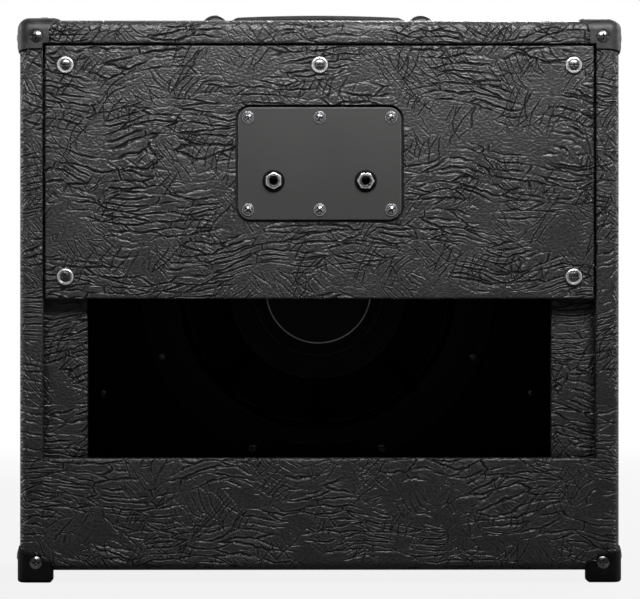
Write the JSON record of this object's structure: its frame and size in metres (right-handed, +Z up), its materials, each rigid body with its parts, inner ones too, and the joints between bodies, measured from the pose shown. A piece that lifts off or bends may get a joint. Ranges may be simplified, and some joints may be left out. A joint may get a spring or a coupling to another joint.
{
  "type": "guitar speaker cabinet",
  "caption": "Open-back vinyl-covered guitar speaker cabinet: one driver behind a cloth grille, jack plate on a removable back panel, corner protectors, feet and a strap handle.",
  "frame": {"origin": "under the middle of the cabinet, on the plane of its feet", "axes": "+Z up, -Y out of the open back with the jack plate, +Y out of the grille, +X to the right when the back is looked at"},
  "size_m": [0.504, 0.261, 0.4773],
  "materials": {
    "vinyl_black": "matte",
    "board_black": "matte",
    "baffle_black": "matte",
    "grille_cloth": "matte",
    "corner_plastic": "satin",
    "handle_plastic": "satin",
    "handle_rubber": "matte",
    "plate_paint": "satin",
    "bright_chrome": "polished",
    "zinc_steel": "satin",
    "dark_steel": "satin",
    "washer_black": "satin",
    "fibre_board": "matte",
    "tinned_brass": "satin",
    "basket_paint": "satin",
    "ferrite": "matte",
    "cone_paper": "matte",
    "spider_cloth": "matte",
    "gasket_board": "matte",
    "coil_copper": "satin",
    "lead_sleeve": "satin",
    "saddle_plastic": "satin"
  },
  "bodies": {
    "cabinet": {"top_board": "board_black", "bottom_board": "board_black", "left_side_board": "board_black", "right_side_board": "board_black", "lower_back_panel": "board_black", "vinyl_covering": "vinyl_black", "rear_side_cleats": "board_black", "rear_top_cleat": "board_black", "rear_bottom_cleat": "board_black", "cleat_coverings": "vinyl_black", "upper_back_panel": "board_black", "back_panel_covering": "vinyl_black", "back_panel_screws": "zinc_steel", "back_panel_cup_washers": "bright_chrome", "front_battens": "baffle_black", "baffle_board": "baffle_black", "baffle_screws": "zinc_steel", "grille_frame": "baffle_black", "grille_cloth": "grille_cloth", "grille_cloth_hem": "grille_cloth", "grille_screws": "zinc_steel", "corner_caps_top": "corner_plastic", "corner_feet_bottom": "corner_plastic", "corner_screws": "dark_steel", "handle_cap_left": "handle_plastic", "handle_cap_right": "handle_plastic", "handle_tail_left": "handle_rubber", "handle_tail_right": "handle_rubber", "handle_bolts": "dark_steel", "handle_tee_nuts": "zinc_steel", "jack_plate": "plate_paint", "jack_plate_screws": "bright_chrome", "jack_bushes": "bright_chrome", "jack_nuts": "bright_chrome", "jack_washers": "washer_black", "jack_frames": "zinc_steel", "jack_insulators": "fibre_board", "jack_lugs": "tinned_brass", "jack_link_wires": "tinned_brass", "speaker_basket": "basket_paint", "speaker_gasket": "gasket_board", "speaker_bolts": "zinc_steel", "speaker_tee_nuts": "zinc_steel", "speaker_top_plate": "zinc_steel", "speaker_magnet": "ferrite", "speaker_back_plate": "basket_paint", "speaker_spider": "spider_cloth", "speaker_surround": "cone_paper", "terminal_strip": "fibre_board", "terminal_blades": "tinned_brass", "flexible_leads": "coil_copper", "speaker_leads": "lead_sleeve", "lead_saddles": "saddle_plastic"},
    "cone": {"speaker_cone": "cone_paper", "speaker_dust_cap": "cone_paper", "speaker_voice_coil": "coil_copper"},
    "handle": {"handle_grip": "handle_rubber"},
    "jack_contact_left": {"jack_tip_spring_left": "tinned_brass"},
    "jack_contact_right": {"jack_tip_spring_right": "tinned_brass"}
  },
  "joints": [
    {"name": "cone_travel", "type": "slide", "parent": "cabinet", "child": "cone", "axis": [0, 1, 0], "range_m": [-0.004, 0.004], "stiffness_N_per_m": 8000, "deforming": ["speaker_spider", "speaker_surround", "flexible_leads"]},
    {"name": "handle_lift", "type": "slide", "parent": "cabinet", "child": "handle", "axis": [0, 0, 1], "range_m": [0, 0.01], "deforming": ["handle_tail_left", "handle_tail_right"]},
    {"name": "jack_contact_left_bend", "type": "hinge", "parent": "cabinet", "child": "jack_contact_left", "pos_m": [-0.0382, -0.09205, 0.34116], "axis": [-1, 0, 0], "range_deg": [0, 6], "stiffness_Nm_per_rad": 0.3},
    {"name": "jack_contact_right_bend", "type": "hinge", "parent": "cabinet", "child": "jack_contact_right", "pos_m": [0.0382, -0.09205, 0.34116], "axis": [-1, 0, 0], "range_deg": [0, 6], "stiffness_Nm_per_rad": 0.3}
  ]
}
